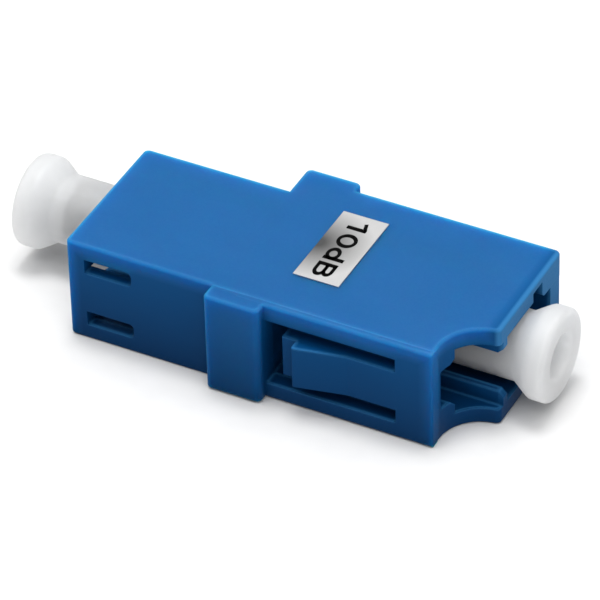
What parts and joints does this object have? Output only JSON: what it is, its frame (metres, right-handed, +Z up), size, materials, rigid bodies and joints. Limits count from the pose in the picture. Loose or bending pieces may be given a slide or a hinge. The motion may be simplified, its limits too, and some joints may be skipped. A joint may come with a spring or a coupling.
{
  "type": "fibre optic attenuator",
  "caption": "Flat blue adapter-type fibre attenuator with a latched plug port at each end, flange tabs, snap-in panel tongues, a foil value label and white dust caps.",
  "frame": {"origin": "on the broad face it lies on, under the fibre axis at the plane where the two ferrules meet", "axes": "+X along the fibre axis towards the front port with the panel tongues, +Y across the broad face away from the latch side, +Z up"},
  "size_m": [0.0342, 0.0132, 0.0068],
  "materials": {
    "blue_plastic": "fine spark-eroded mould texture, satin",
    "holder_plastic": "satin",
    "ceramic": "polished",
    "ring_metal": "lapped",
    "cap_plastic": "soft translucent, satin",
    "label_foil": "satin foil"
  },
  "bodies": {
    "adapter": {"housing": "blue_plastic", "sleeve_holder_front": "holder_plastic", "sleeve_holder_rear": "holder_plastic", "split_sleeve": "ceramic", "gap_ring": "ring_metal", "value_label": "label_foil"},
    "front_cap": {"dust_cap_front": "cap_plastic"},
    "rear_cap": {"dust_cap_rear": "cap_plastic"}
  },
  "joints": [
    {"name": "front_cap_slide", "type": "slide", "parent": "adapter", "child": "front_cap", "axis": [1, 0, 0], "range_m": [0, 0.016]},
    {"name": "rear_cap_slide", "type": "slide", "parent": "adapter", "child": "rear_cap", "axis": [-1, 0, 0], "range_m": [0, 0.0125]}
  ]
}
